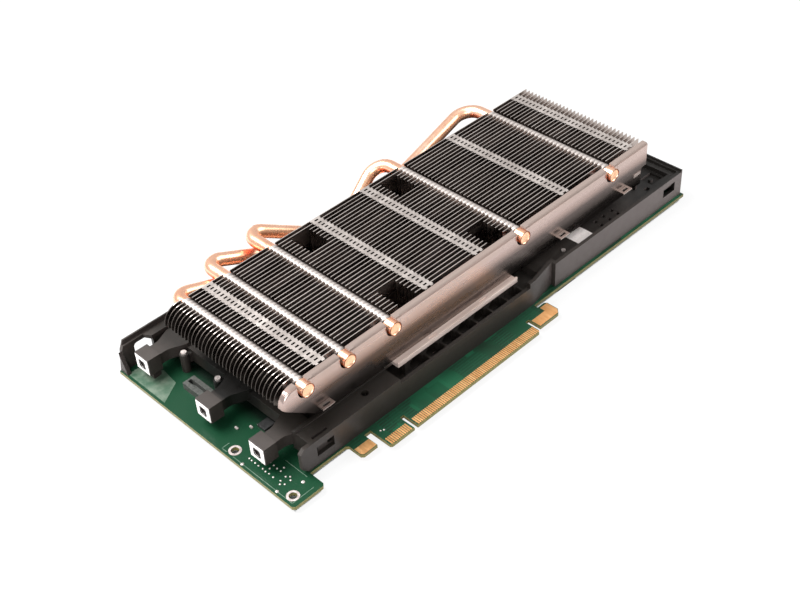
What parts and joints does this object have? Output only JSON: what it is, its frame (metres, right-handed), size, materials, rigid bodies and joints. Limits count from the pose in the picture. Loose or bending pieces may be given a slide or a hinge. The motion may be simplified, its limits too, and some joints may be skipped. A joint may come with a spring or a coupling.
{
  "type": "passive accelerator card",
  "caption": "Server accelerator card: circuit board with edge contacts, black cast frame, cold plate and long fin stack on copper heat pipes, cooled by chassis air.",
  "frame": {"origin": "under the middle of the card's box, on the plane of the back plate and screw heads that it rests on", "axes": "+X along the board away from the bracket end, +Y from the edge contacts to the top edge, +Z out of the component side"},
  "size_m": [0.2476, 0.1112, 0.0376],
  "materials": {
    "board": "semi-gloss solder mask",
    "gold": "gold plating, satin",
    "casting": "black coated die casting, satin",
    "silver": "machined and nickel plated, satin",
    "fin": "bare stamped sheet, bright",
    "copper": "bare copper, polished",
    "chip": "moulded package, matt",
    "lid": "plated lid, satin",
    "pad": "soft thermal pad, matt",
    "steel": "zinc plated, satin",
    "choke": "pressed iron powder, matt",
    "connector": "moulded, matt",
    "label": "bare paper label, matt"
  },
  "bodies": {
    "root": {"back_plate": "steel", "base_frame": "casting", "board_connector": "connector", "board_pads": "gold", "board_screws": "steel", "bulk_capacitor_1": "chip", "bulk_capacitor_2": "chip", "bulk_capacitor_3": "chip", "bulk_capacitor_4": "chip", "circuit_board": "board", "cold_plate": "silver", "deck_pin": "steel", "edge_component": "chip", "edge_contacts": "gold", "fin_stack": "fin", "heat_pipe_1": "copper", "heat_pipe_2": "copper", "heat_pipe_3": "copper", "heat_pipe_4": "copper", "heat_pipe_5": "copper", "info_label": "label", "memory_chip_1": "chip", "memory_chip_10": "chip", "memory_chip_11": "chip", "memory_chip_12": "chip", "memory_chip_2": "chip", "memory_chip_3": "chip", "memory_chip_4": "chip", "memory_chip_5": "chip", "memory_chip_6": "chip", "memory_chip_7": "chip", "memory_chip_8": "chip", "memory_chip_9": "chip", "pipe_collar_1": "fin", "pipe_collar_2": "fin", "pipe_collar_3": "fin", "pipe_collar_4": "fin", "pipe_collar_5": "fin", "post_screws": "steel", "power_choke_1": "choke", "power_choke_2": "choke", "power_choke_3": "choke", "power_choke_4": "choke", "power_choke_5": "choke", "power_transistors": "chip", "processor": "lid", "screw_springs": "steel", "side_plate": "fin", "spring_screws": "steel", "thermal_pads": "pad"}
  },
  "joints": []
}
